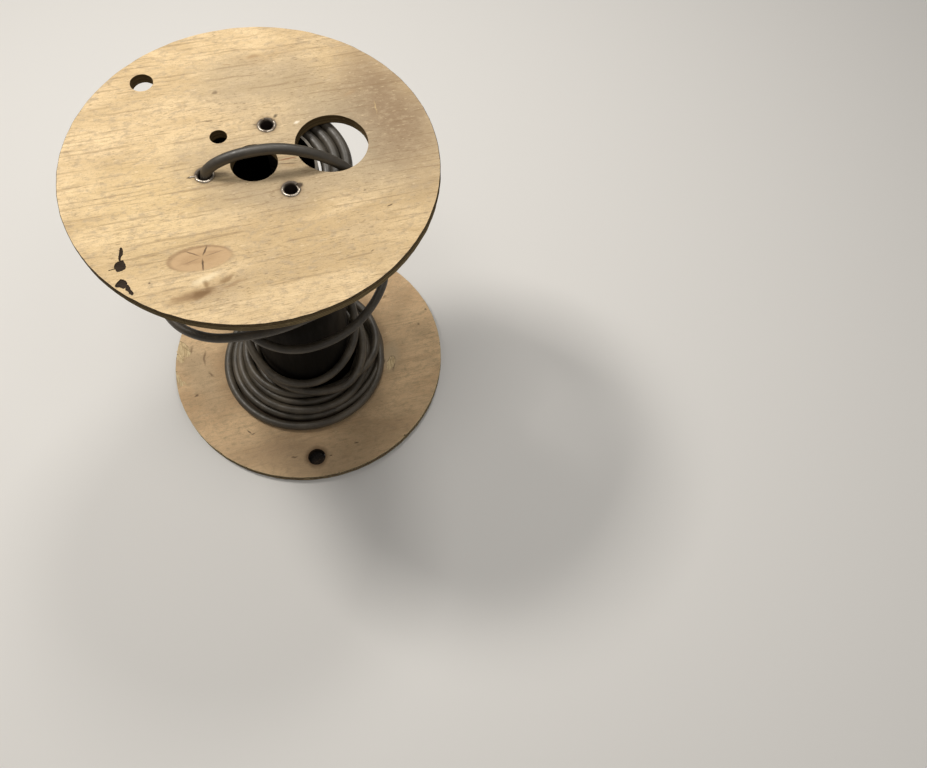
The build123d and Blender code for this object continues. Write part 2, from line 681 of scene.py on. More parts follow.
@dataclass(frozen=True)
class SawnEdge(Finish):
    """The sawn edge and the bored walls of plywood, its plies light and dark by turns."""

    node: str
    light: Colour
    dark: Colour
    chipped: Colour
    bored: Colour
    soiled: float
    broken: float = 0.6
    plies: int = 5

    def draw(self, board: Board) -> None:
        """Lay the plies, the glue lines, the saw's streaks, the dirt and the bored walls.

        Args:
            board: The material's node tree.
        """
        low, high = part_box(self.node)
        bottom, thickness, rim = low[2], high[2] - low[2], high[0]
        coordinates = board.coordinates()
        level_only = {0: coordinates, 1: (1.0, 1.0, 0.0)}
        away = board.length(board.node("ShaderNodeVectorMath", level_only, operation="MULTIPLY").outputs[0])
        wander = board.ramp(board.noise(coordinates, 14.0, 3.0), 0.2, 0.8, -0.0004, 0.0004)
        level = board.math("SUBTRACT", board.math("ADD", board.along("Z"), wander), bottom)
        level = board.math("DIVIDE", level, thickness / self.plies)
        ply = board.math("PINGPONG", level, 1.0)
        glue = board.math("PINGPONG", board.math("ADD", level, 0.5), 0.5)
        streak = board.noise(board.place(0.0, (1.0, 1.0, 6.0)), 55.0, 5.0, 0.65)
        fibre = board.noise(board.place(0.0, (1.0, 1.0, 0.4)), 420.0, 4.0, 0.7)
        flake = board.noise(board.place(0.0, (1.0, 1.0, 3.0)), 120.0, 4.0, 0.6, 0.6)
        colour = board.coated(
            board.blend(board.ramp(ply, 0.35, 0.65), self.dark, self.light),
            (streak, 0.42, 0.7, 0.75, self.dark),
            (fibre, 0.5, 0.72, 0.5, self.dark),
            (level, 0.5 * self.plies, 0.62 * self.plies, self.soiled, self.bored),
            (flake, 0.62, 0.68, self.broken, self.chipped),
        )
        # The bored walls are painted dark brown: dark wood, with painted shade inside the holes.
        hole = board.ramp(away, rim - 0.006, rim - 0.004, 0.72, 0.0)
        board.surface(
            board.blend(hole, colour, self.bored),
            0.88,
            (board.ramp(glue, 0.36, 0.5, 1.0, 0.0), 0.5, 0.0004),
            (fibre, 0.6, 0.0005),
            (flake, 0.4, 0.0008),
            shine=0.15,
        )


@dataclass(frozen=True)
class TornWood(Finish):
    """The rough wood that shows where veneer has come away."""

    light: Colour
    dark: Colour
    grain_angle: float

    def draw(self, board: Board) -> None:
        """Lay the torn fibres and the blotches.

        Args:
            board: The material's node tree.
        """
        fibre = board.noise(board.place(-self.grain_angle, (1.0, 9.0, 1.0)), 70.0, 6.0, 0.72, 0.4)
        blotch = board.noise(board.place(), 85.0, 5.0, 0.65)
        colour = board.blend(board.ramp(fibre, 0.38, 0.66), self.light, self.dark)
        colour = board.coated(colour, (blotch, 0.5, 0.7, 0.6, self.dark))
        board.surface(colour, 0.92, (fibre, 0.8, 0.0008), shine=0.12)


@dataclass(frozen=True)
class BarrelFinish(Finish):
    """A dull black tube, scuffed along its length and bare on its rim."""

    rim_height: float
    black: Colour = (0.004, 0.003, 0.002, 1.0)
    faded: Colour = (0.01, 0.007, 0.004, 1.0)
    scuffed: Colour = (0.022, 0.016, 0.01, 1.0)
    bare: Colour = (0.22, 0.2, 0.17, 1.0)

    def draw(self, board: Board) -> None:
        """Lay the black, the scuffs and the bare rim.

        Args:
            board: The material's node tree.
        """
        cloud = board.noise(board.place(), 14.0, 5.0, 0.6)
        rubbed = board.noise(board.place(0.0, (1.0, 1.0, 0.12)), 60.0, 4.0, 0.6)
        colour = board.coated(
            board.blend(board.ramp(cloud, 0.4, 0.75), self.black, self.faded),
            (rubbed, 0.52, 0.75, 0.5, self.scuffed),
            (board.along("Z"), self.rim_height - 0.0003, self.rim_height, 0.8, self.bare),
        )
        rough = board.ramp(rubbed, 0.3, 0.75, 0.55, 0.8)
        board.surface(colour, rough, (rubbed, 0.25, 0.0005), shine=0.12)


@dataclass(frozen=True)
class TieFinish(Finish):
    """Steel with its zinc gone dull, bright where it is worn, rusty in the bore, with grime and painted shade
    behind the mouth and painted shade in the bore.
    """

    spot: Spot
    bore: float
    mouth: float
    bright: Colour = (0.56, 0.5, 0.42, 1.0)
    dull: Colour = (0.36, 0.31, 0.25, 1.0)
    rust: Colour = (0.13, 0.085, 0.055, 1.0)
    grime_and_shade: Colour = (0.06, 0.04, 0.026, 1.0)
    shade: Colour = (0.022, 0.012, 0.008, 1.0)

    def draw(self, board: Board) -> None:
        """Lay the zinc, the rust, the grime with painted shade behind the mouth and the painted shade of the
        bore.

        Args:
            board: The material's node tree.
        """
        away = board.math("MULTIPLY", board.oval(board.coordinates(), self.spot), self.spot.length * MM)
        cloud = board.noise(board.place(), 170.0, 5.0, 0.65)
        fine = board.noise(board.place(), 850.0, 4.0, 0.65)
        metal = board.blend(board.ramp(fine, 0.35, 0.7), self.bright, self.dull)
        colour = board.coated(metal, (cloud, 0.47, 0.64, 0.85, self.rust))
        deep = board.ramp(board.along("Z"), self.mouth - 0.0042, self.mouth - 0.0014, 1.0, 0.0)
        narrow = board.ramp(away, self.bore + 0.0002, self.bore + 0.0007, 1.0, 0.0)
        inside = board.math("MULTIPLY", deep, narrow)
        ragged = board.ramp(cloud, 0.3, 0.7, -0.002, 0.002)
        # Grime with painted shade on the far side of the mouth.
        behind = board.math("SUBTRACT", board.math("ADD", board.along("Y"), ragged), self.spot.y * MM)
        grime_and_shade_share = board.ramp(behind, 0.001, 0.0055, 0.0, 0.85)
        colour = board.blend(grime_and_shade_share, colour, self.grime_and_shade)
        rusty = board.math("MAXIMUM", board.math("MAXIMUM", inside, grime_and_shade_share), board.ramp(cloud, 0.47, 0.64))
        board.surface(
            # The bore is painted dark as shade inside the tube.
            board.blend(inside, colour, self.shade),
            board.ramp(rusty, 0.0, 1.0, 0.32, 0.75),
            (fine, 0.4, 0.0003),
            metal=board.ramp(rusty, 0.0, 1.0, 0.85, 0.0),
        )


@dataclass(frozen=True)
class DirtFinish(Finish):
    """Dark trodden dirt with pale grit, much darker towards the back of the hole."""

    middle: float
    wet: Colour = (0.014, 0.009, 0.006, 1.0)
    dry: Colour = (0.075, 0.048, 0.03, 1.0)
    gritty: Colour = (0.4, 0.3, 0.23, 1.0)
    darker_back: Colour = (0.008, 0.006, 0.005, 1.0)

    def draw(self, board: Board) -> None:
        """Lay the crumbs, the grit and the darker back side.

        Args:
            board: The material's node tree.
        """
        crumb = board.noise(board.place(), 330.0, 5.0, 0.7)
        grit = board.noise(board.place(), 420.0, 2.0, 0.5, 0.5)
        colour = board.coated(
            board.blend(board.ramp(crumb, 0.35, 0.7), self.wet, self.dry),
            (grit, 0.68, 0.72, 0.9, self.gritty),
            # Much darker towards the back of the hole.
            (board.along("Y"), self.middle - 0.004, self.middle + 0.003, 0.9, self.darker_back),
        )
        board.surface(colour, 0.95, (crumb, 0.9, 0.0012))


@dataclass(frozen=True)
class CableFinish(Finish):
    """A dark grey-brown sheath, dusty and scuffed, with a soft sheen, and darker above a given height."""

    darker_above: float
    dark: Colour = (0.052, 0.042, 0.028, 1.0)
    light: Colour = (0.115, 0.093, 0.064, 1.0)
    dusty: Colour = (0.26, 0.205, 0.14, 1.0)
    top_darkening: Colour = (0.028, 0.024, 0.019, 1.0)

    def draw(self, board: Board) -> None:
        """Lay the sheath, its dust and its darker start.

        Args:
            board: The material's node tree.
        """
        cloud = board.noise(board.place(), 24.0, 5.0, 0.6)
        scuff = board.noise(board.place(), 210.0, 5.0, 0.68)
        grain = board.noise(board.place(), 900.0, 2.0, 0.5)
        colour = board.coated(
            board.blend(board.ramp(cloud, 0.38, 0.68), self.dark, self.light),
            (scuff, 0.54, 0.78, 0.5, self.dusty),
            # Darker from just under the upper flange upwards, over the tail and the top of the coil.
            (board.along("Z"), self.darker_above - 0.012, self.darker_above, 0.7, self.top_darkening),
        )
        rough = board.ramp(scuff, 0.3, 0.75, 0.42, 0.6)
        board.surface(colour, rough, (scuff, 0.25, 0.0003), (grain, 0.15, 0.0001), shine=0.75)


@dataclass
class Flange:
    """One plywood flange: a sawn disc with its holes, knocks and missing veneer."""

    node: str
    slot: str
    face: VeneerFace
    edge: SawnEdge
    torn: TornWood
    holes: tuple[Spot, ...]
    grooves: tuple[tuple[float, float, float, float], ...]
    pockets: tuple[Spot, ...] = ()
    pocket_depth: float = 1.4
    missing: tuple[tuple[Spot, ...], ...] = ()
    missing_depth: float = 0.9
    chips: tuple[Spot, ...] = ()
    slivers: tuple[Spot, ...] = ()
    sides: int = 288
    plies: int = 5
    edge_break: float = 0.6
    steps: tuple[float, ...] = (0.0, 0.25, 0.05, 0.3, 0.1)

    def __post_init__(self) -> None:
        """Read the flange's heights and radius from its CAD node."""
        low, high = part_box(self.node)
        self.bottom, self.top = low[2], high[2]
        self.radius = (high[0] - low[0]) / 2

    def blank(self) -> bpy.types.Object:
        """Extrude the disc ply by ply, each ply's edge a little in or out of the next.

        Returns:
            The disc.
        """
        broken, half_step = self.edge_break * MM, 0.15 * MM
        ply = (self.top - self.bottom) / self.plies
        rings = [(self.radius - broken, self.bottom), (self.radius, self.bottom + broken)]
        for index, (below, above) in enumerate(zip(self.steps, self.steps[1:])):
            level = self.bottom + (index + 1) * ply
            rings.append((self.radius - below * MM, level - half_step))
            rings.append((self.radius - above * MM, level + half_step))
        rings += [(self.radius, self.top - broken), (self.radius - broken, self.top)]
        disc = Modeller.drawn(f"{self.node}_board", rings, self.sides, "NGON")
        Modeller.roughen(disc, 0.00045, 0.011)
        Modeller.roughen(disc, 0.0002, 0.002)
        return disc

    def bore(self, disc: bpy.types.Object) -> None:
        """Cut the holes, the tie pockets and the ring groove that the barrel stands in.

        Args:
            disc: The disc.
        """
        for spot in self.pockets:
            cutter = Modeller.cylinder(spot, self.bottom - OVERCUT, self.bottom + self.pocket_depth * MM, 48)
            Modeller.carve(disc, cutter)
        for inner, outer, low, high in self.grooves:
            ring = [(inner, low), (outer, low), (outer, high), (inner, high)]
            Modeller.carve(disc, Modeller.turned("groove", Vector(), ring, 128))
        for spot in self.holes:
            cutter = Modeller.cylinder(spot, self.bottom - OVERCUT, self.top + OVERCUT, 72)
            Modeller.roughen(cutter, 0.0003, 0.006)
            Modeller.carve(disc, cutter)

    def damage(self, disc: bpy.types.Object) -> None:
        """Take away the missing veneer and the chips knocked out of the rim.

        Args:
            disc: The disc.
        """
        for index, patch in enumerate(self.missing):
            for spot in patch:
                depth = (self.missing_depth + 0.07 * index) * MM
                cutter = Modeller.cylinder(spot, self.top - depth, self.top + OVERCUT, 44)
                Modeller.roughen(cutter, 0.0022, 0.006)
                Modeller.roughen(cutter, 0.0007, 0.0015)
                Modeller.carve(disc, cutter)
        for index, spot in enumerate(self.chips):
            middle = self.top - (0.1 if index % 3 else 0.6) * (self.top - self.bottom)
            cutter = Modeller.bead("chip", spot, middle, 0.0016, 2)
            Modeller.roughen(cutter, 0.0008, 0.002, 0.0006)
            Modeller.carve(disc, cutter)

    def splinters(self) -> list[bpy.types.Object]:
        """Long flat slivers of veneer, still fast at one end.

        Returns:
            The slivers.
        """
        made = []
        for index, spot in enumerate(self.slivers):
            sliver = Modeller.bead("sliver", spot, self.top - 0.3 * MM + 0.25 * MM * (index % 3), 0.0004, 3)
            Modeller.roughen(sliver, 0.0012, 0.009, 0.0012)
            made.append(sliver)
        return made

    def dress(self, board: bpy.types.Object) -> None:
        """Give the faces, the sawn walls and the torn places their finishes.

        Args:
            board: The finished board.
        """
        board.data.materials.clear()
        for finish in (self.face, self.edge, self.torn):
            board.data.materials.append(finish.make())
        skin = 0.25 * MM
        for polygon in board.data.polygons:
            level = abs(polygon.normal.z)
            inner = self.bottom + skin < polygon.center.z < self.top - skin
            proud = polygon.center.z > self.top + 0.02 * MM
            if proud or (inner and level > 0.5):
                polygon.material_index = Skin.TORN
            elif level < 0.8:
                polygon.material_index = Skin.EDGE
            else:
                polygon.material_index = Skin.FACE

    def build(self) -> bpy.types.Object:
        """Make the flange.

        Returns:
            The finished board.
        """
        board = self.blank()
        self.bore(board)
        self.damage(board)
        slivers = self.splinters()
        if slivers:
            Modeller.join(board, slivers)
        self.dress(board)
        Modeller.smooth(board, 28.0)
        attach(board, BODY)
        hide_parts(self.node)
        return board


@dataclass
class Tie:
    """A hollow steel tie, its ends hammered over both flanges."""

    node: str
    horns: tuple[Spot, ...] = ()
    splits: tuple[Spot, ...] = ()
    bore: float = 7.3
    wall: float = 8.5
    lip: float = 10.5
    lip_height: float = 1.4
    sides: int = 64

    def __post_init__(self) -> None:
        """Read the tie's place and ends from its CAD node."""
        low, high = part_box(self.node)
        self.place = Vector(((low[0] + high[0]) / 2, (low[1] + high[1]) / 2, 0.0))
        self.bottom, self.top = low[2], high[2]

    def profile(self) -> list[tuple[float, float]]:
        """The section of the tube wall with its rolled lips, once round.

        Returns:
            Radius and height of each step, in metres.
        """
        rolled = [(0.0, -2.4), (0.25, -1.1), (0.8, -0.35), (1.6, 0.0)]
        rolled += [(2.5, -0.2), (3.1, -0.75), (3.05, -1.3)]
        upper = [((self.bore + out) * MM, self.top + up * MM) for out, up in rolled]
        lower = [((self.bore + out) * MM, self.bottom - up * MM) for out, up in reversed(rolled)]
        neck = self.lip_height * MM
        outer = [(self.wall * MM, self.top - neck), (self.wall * MM, self.bottom + neck)]
        stations = [self.bottom + share * (self.top - self.bottom) for share in (0.25, 0.5, 0.75)]
        inner = [(self.bore * MM, height) for height in stations]
        return [*upper, *outer, *lower, *inner]

    def build(self) -> bpy.types.Object:
        """Make the tie.

        Returns:
            The finished tube.
        """
        tube = Modeller.turned(f"{self.node}_tube", self.place, self.profile(), self.sides)
        lip_foot = self.top - 0.0028
        for vertex in tube.data.vertices:
            if vertex.co.z > lip_foot:
                push = noise.noise_vector(vertex.co / 0.006)
                vertex.co += Vector((push.x * 0.0005, push.y * 0.0005, -abs(push.z) * 0.0004))
        for spot in self.splits:
            Modeller.carve(tube, Modeller.cylinder(spot, self.top - 0.0024, self.top + OVERCUT, 24))
        horns = []
        for spot in self.horns:
            horn = Modeller.bead("horn", spot, self.top - 0.9 * MM, 0.00055, 3)
            Modeller.roughen(horn, 0.0005, 0.003)
            horns.append(horn)
        if horns:
            Modeller.join(tube, horns)
        middle = Spot(self.place.x / MM, self.place.y / MM, self.lip, self.lip)
        tube.data.materials.append(TieFinish(f"{self.node}_steel", middle, self.bore * MM, self.top).make())
        Modeller.smooth(tube, 40.0)
        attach(tube, BODY)
        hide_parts(self.node)
        return tube


@dataclass
class HoleDirt:
    """The dirt trodden into the lower flange's drive hole."""

    spot: Spot
    depth: float = 3.2

    def build(self) -> bpy.types.Object:
        """Make the dirt.

        Returns:
            The finished plug.
        """
        filled = Spot(self.spot.x, self.spot.y, self.spot.length - 0.5, self.spot.width - 0.5)
        plug = Modeller.cylinder(filled, 0.0001, self.depth * MM, 40)
        plug.name = "drive_hole_dirt"
        bpy.ops.object.mode_set(mode="EDIT")
        bpy.ops.mesh.select_all(action="SELECT")
        bpy.ops.mesh.inset(thickness=0.0015)
        bpy.ops.object.mode_set(mode="OBJECT")
        Modeller.apply(plug, "REMESH", mode="VOXEL", voxel_size=0.0006)
        for vertex in plug.data.vertices:
            if vertex.co.z > self.depth * MM * 0.7:
                rough = noise.noise(vertex.co / 0.003) + 0.5 * noise.noise(vertex.co / 0.0011)
                vertex.co.z += rough * 0.0011
        plug.data.materials.append(DirtFinish("trodden_dirt", self.spot.y * MM).make())
        Modeller.smooth(plug, 60.0)
        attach(plug, BODY)
        return plug


@dataclass
class Cable:
    """The one length of cable, from its tucked start to its bare end in the pile."""

    upper_underside: float
    lower_top: float
    diameter: float = 12.0
    exit: Point = (-54.0, 0.0, 458.0)
    coil_points: int = 16
    chord_gain: float = 0.0194
    ripple: float = 0.06
    easing: float = 0.25
    tail: tuple[Point, ...] = (
        (-54.0, 0.0, 458.0),
        (-54.0, 0.0, 476.0),
        (-47.0, -1.0, 488.0),
        (-28.0, -4.0, 499.0),
        (-2.0, -8.0, 505.0),
        (28.0, -13.0, 505.0),
        (58.0, -20.0, 495.0),
        (82.0, -27.0, 479.0),
        (96.0, -33.0, 465.0),
        (106.0, -44.0, 457.0),
        (103.0, -62.0, 455.5),
        (84.0, -82.0, 456.0),
        (52.0, -94.0, 457.0),
    )
    loose: tuple[Point, ...] = (
        (140, 116, 449), (112, 116, 447), (85, 115, 439), (55, 113, 422),
        (24, 112, 396), (-8, 127, 367), (-36, 134, 343), (-60, 124, 325),
        (-84, 109, 311), (-108, 111, 296), (-130, 124, 288), (-146, 143, 283),
        (-163, 157, 277), (178, 160, 270), (150, 150, 258), (118, 138, 244),
        (84, 130, 234), (52, 127, 227), (22, 127, 221), (-6, 134, 214),
        (-28, 117, 208), (-60, 102, 203), (-100, 94, 200), (-138, 86, 195),
        (-177, 84, 188), (143, 83, 179), (101, 83, 166), (59, 83, 150),
        (16, 83, 128), (-26, 81, 102), (-64, 79, 79), (-101, 79, 63),
        (-140, 84, 74), (177, 84, 98), (135, 84, 107), (92, 84, 101),
        (50, 84, 87), (10, 86, 72), (-31, 90, 60), (-64, 100, 55),
    )

    def coil(
        self, turns: tuple[Turn, ...], start: float, sweep: float, holds: tuple[float, ...]
    ) -> list[Vector]:
        """Clockwise turns, each easing over into the next one.

        Args:
            turns: The turns, in order.
            start: The angle in degrees that the first turn starts at.
            sweep: The whole angle in degrees that the turns run through.
            holds: The share of each turn after which it eases over to the next.

        Returns:
            The control points.
        """
        step = 360.0 / self.coil_points
        points = []
        for index in range(int(sweep / step) + 1):
            angle = start - index * step
            count = min(int(index * step / 360.0), len(turns) - 1)
            after = turns[min(count + 1, len(turns) - 1)]
            share = smoothstep((index * step / 360.0 - count - holds[count]) / self.easing)
            point = turns[count].at(angle).lerp(after.at(angle), share)
            wave = self.ripple * math.sin(0.9 * index + 1.7 * count)
            bulge = 1.0 + self.chord_gain * (1.0 + wave)
            points.append(Vector((point.x * bulge, point.y * bulge, point.z)))
        return points

    def points(self) -> list[Vector]:
        """The control points of the whole cable.

        Returns:
            The points from start to end.
        """
        under, row = self.upper_underside / MM, 12.4
        top = [Turn(radius, under - 6.6) for radius in (101.0, 88.5, 76.0)]
        top += [Turn(radius, under - 6.6 - row) for radius in (76.0, 88.0, 98.0, 104.0)]
        wound = self.coil(tuple(top), -82.0, 2245.0, (0.75, 0.75, 0.75, 0.55, 0.55, 0.86, 0.9))
        floor = self.lower_top / MM + 6.1
        heap = (
            Turn(89.0, floor + 31.5, 15.0, 5.0, 8.0, 180.0),
            Turn(84.0, floor + 22.0, 9.0, 135.0, 2.0, 0.0),
            Turn(88.5, floor + 11.2, 4.0, 170.0),
            Turn(76.0, floor + 10.2, 1.0, -150.0),
            Turn(101.5, floor + 11.6, 2.0, -150.0, 1.0, -60.0),
            Turn(116.5, floor, 9.5, -150.0),
            Turn(106.0, floor, 6.5, 180.0),
            Turn(92.0, floor, 4.0, -150.0),
            Turn(82.0, floor, 2.0, -150.0),
            Turn(74.5, floor, 0.0, -150.0),
        )
        pile = self.coil(heap, -98.0, 3560.0, (0.8, 0.7, 0.7, 0.7, 0.6, 0.7, 0.7, 0.7, 0.7, 0.7))
        route = [Vector(point) * MM for point in self.tail]
        return route + wound + [polar(*point) for point in self.loose] + pile

    def build(self) -> bpy.types.Object:
        """Returns:
            The curve object.
        """
        points = self.points()
        curve = bpy.data.curves.new("cable", "CURVE")
        curve.dimensions = "3D"
        curve.bevel_depth = self.diameter / 2 * MM
        curve.bevel_resolution = 4
        curve.use_fill_caps = True
        spline = curve.splines.new("NURBS")
        spline.points.add(len(points) - 1)
        for slot, point in zip(spline.points, points):
            slot.co = (*point, 1.0)
        spline.order_u = 3
        spline.use_endpoint_u = True
        spline.resolution_u = 8
        cable = bpy.data.objects.new("cable", curve)
        bpy.context.scene.collection.objects.link(cable)
        curve.materials.append(CableFinish("cable_sheath", self.upper_underside).make())
        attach(cable, BODY)
        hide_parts("cable_tail", "cable_top_coil", "cable_loose_turns", "cable_pile")
        length = self.length(cable)
        LOG.info("cable is %.2f m long", length)
        return cable

    def length(self, cable: bpy.types.Object) -> float:
        """The length of the cable's centre line.

        Args:
            cable: The curve object.

        Returns:
            The length in metres.
        """
        line = cable.copy()
        line.data = cable.data.copy()
        line.data.bevel_depth = 0.0
        line.data.use_fill_caps = False
        bpy.context.scene.collection.objects.link(line)
        bpy.context.view_layer.update()
        mesh = bpy.data.meshes.new_from_object(line)
        ends = [[mesh.vertices[index].co for index in edge.vertices] for edge in mesh.edges]
        total = sum((first - second).length for first, second in ends)
        bpy.data.objects.remove(line)
        bpy.data.meshes.remove(mesh)
        return total


@dataclass
class ViewPoint:
    """The photograph's camera."""

    place: Point = (-31.71, -670.42, 1267.97)
    pan: float = 35.28
    pitch: float = 64.12
    roll: float = 13.44
    lens: float = 33.96
    shift: float = -0.0825

    def build(self) -> None:
        """Add the camera and make it the scene's own."""
        data = bpy.data.cameras.new("photo_camera")
        data.lens = self.lens
        data.sensor_width = 36.0
        data.shift_x = self.shift
        data.clip_end = 20.0
        camera = bpy.data.objects.new("photo_camera", data)
        bpy.context.scene.collection.objects.link(camera)
        pan, pitch, roll = (math.radians(value) for value in (self.pan, self.pitch, self.roll))
        forward = Vector((math.sin(pan) * math.cos(pitch), math.cos(pan) * math.cos(pitch), -math.sin(pitch)))
        right = Vector((math.cos(pan), -math.sin(pan), 0.0))
        up = right.cross(forward)
        side = math.cos(roll) * right + math.sin(roll) * up
        top = -math.sin(roll) * right + math.cos(roll) * up
        turn = Matrix((side, top, -forward)).transposed().to_4x4()
        camera.matrix_world = Matrix.Translation(Vector(self.place) * MM) @ turn
        bpy.context.scene.camera = camera


@dataclass
class Studio:
    """A pale floor, a pale sky and soft lamps."""

    floor_half: float = 6.0

    def floor(self) -> None:
        """Add the floor, which is pale to the camera, greyer to bounced light, and keeps shadow."""
        Modeller.clear_selection()
        bpy.ops.mesh.primitive_plane_add(size=self.floor_half * 2, location=(0.0, 0.0, -0.0005))
        ground = bpy.context.object
        ground.name = "floor"
        Modeller.settle(ground)
        board = Board(bpy.data.materials.new("pale_floor"))
        path = board.node("ShaderNodeLightPath")
        seen = path.outputs["Is Camera Ray"]
        for name in ("Is Glossy Ray", "Is Transmission Ray"):
            seen = board.math("MAXIMUM", seen, path.outputs[name])
        colour = board.blend(seen, (0.24, 0.22, 0.19, 1.0), (0.82, 0.81, 0.79, 1.0))
        board.surface(colour, 0.9)
        ground.data.materials.append(board.material)

    def sky(self) -> None:
        """Give the world an even, pale light."""
        world = bpy.data.worlds.new("studio")
        world.use_nodes = True
        world.node_tree.nodes["Background"].inputs["Color"].default_value = (1.0, 0.97, 0.93, 1.0)
        world.node_tree.nodes["Background"].inputs["Strength"].default_value = 0.21
        bpy.context.scene.world = world

    def lamp(self, name: str, place: Point, aim: Point, size: float, power: float, colour: Point) -> None:
        """Add one square soft lamp.

        Args:
            name: The lamp's name.
            place: Where it hangs.
            aim: What it points at.
            size: The length of its side.
            power: Its power in watts.
            colour: Its colour.
        """
        data = bpy.data.lights.new(name, "AREA")
        data.size = size
        data.energy = power
        data.color = colour
        light = bpy.data.objects.new(name, data)
        bpy.context.scene.collection.objects.link(light)
        aimed = (Vector(aim) - Vector(place)).to_track_quat("-Z", "Y")
        light.matrix_world = Matrix.Translation(place) @ aimed.to_matrix().to_4x4()

    def build(self) -> None:
        """Add the floor, the sky and the lamps."""
        self.floor()
        self.sky()
        self.lamp("left_key", (-0.66, 0.8, 2.0), (0.0, 0.0, 0.4), 0.4, 23.0, (1.0, 0.955, 0.89))
        self.lamp("right_key", (0.64, 0.8, 2.0), (0.0, 0.0, 0.4), 0.4, 10.0, (1.0, 0.965, 0.91))
        self.lamp("top_key", (-0.1, -0.16, 2.1), (0.0, 0.0, 0.4), 0.5, 4.5, (1.0, 0.96, 0.9))
        self.lamp("front_key", (0.5, -0.7, 2.1), (0.0, 0.0, 0.3), 0.4, 1.8, (1.0, 0.965, 0.91))
        self.lamp("fill", (0.9, -1.5, 1.6), (0.0, 0.0, 0.3), 1.6, 2.0, (1.0, 0.98, 0.95))


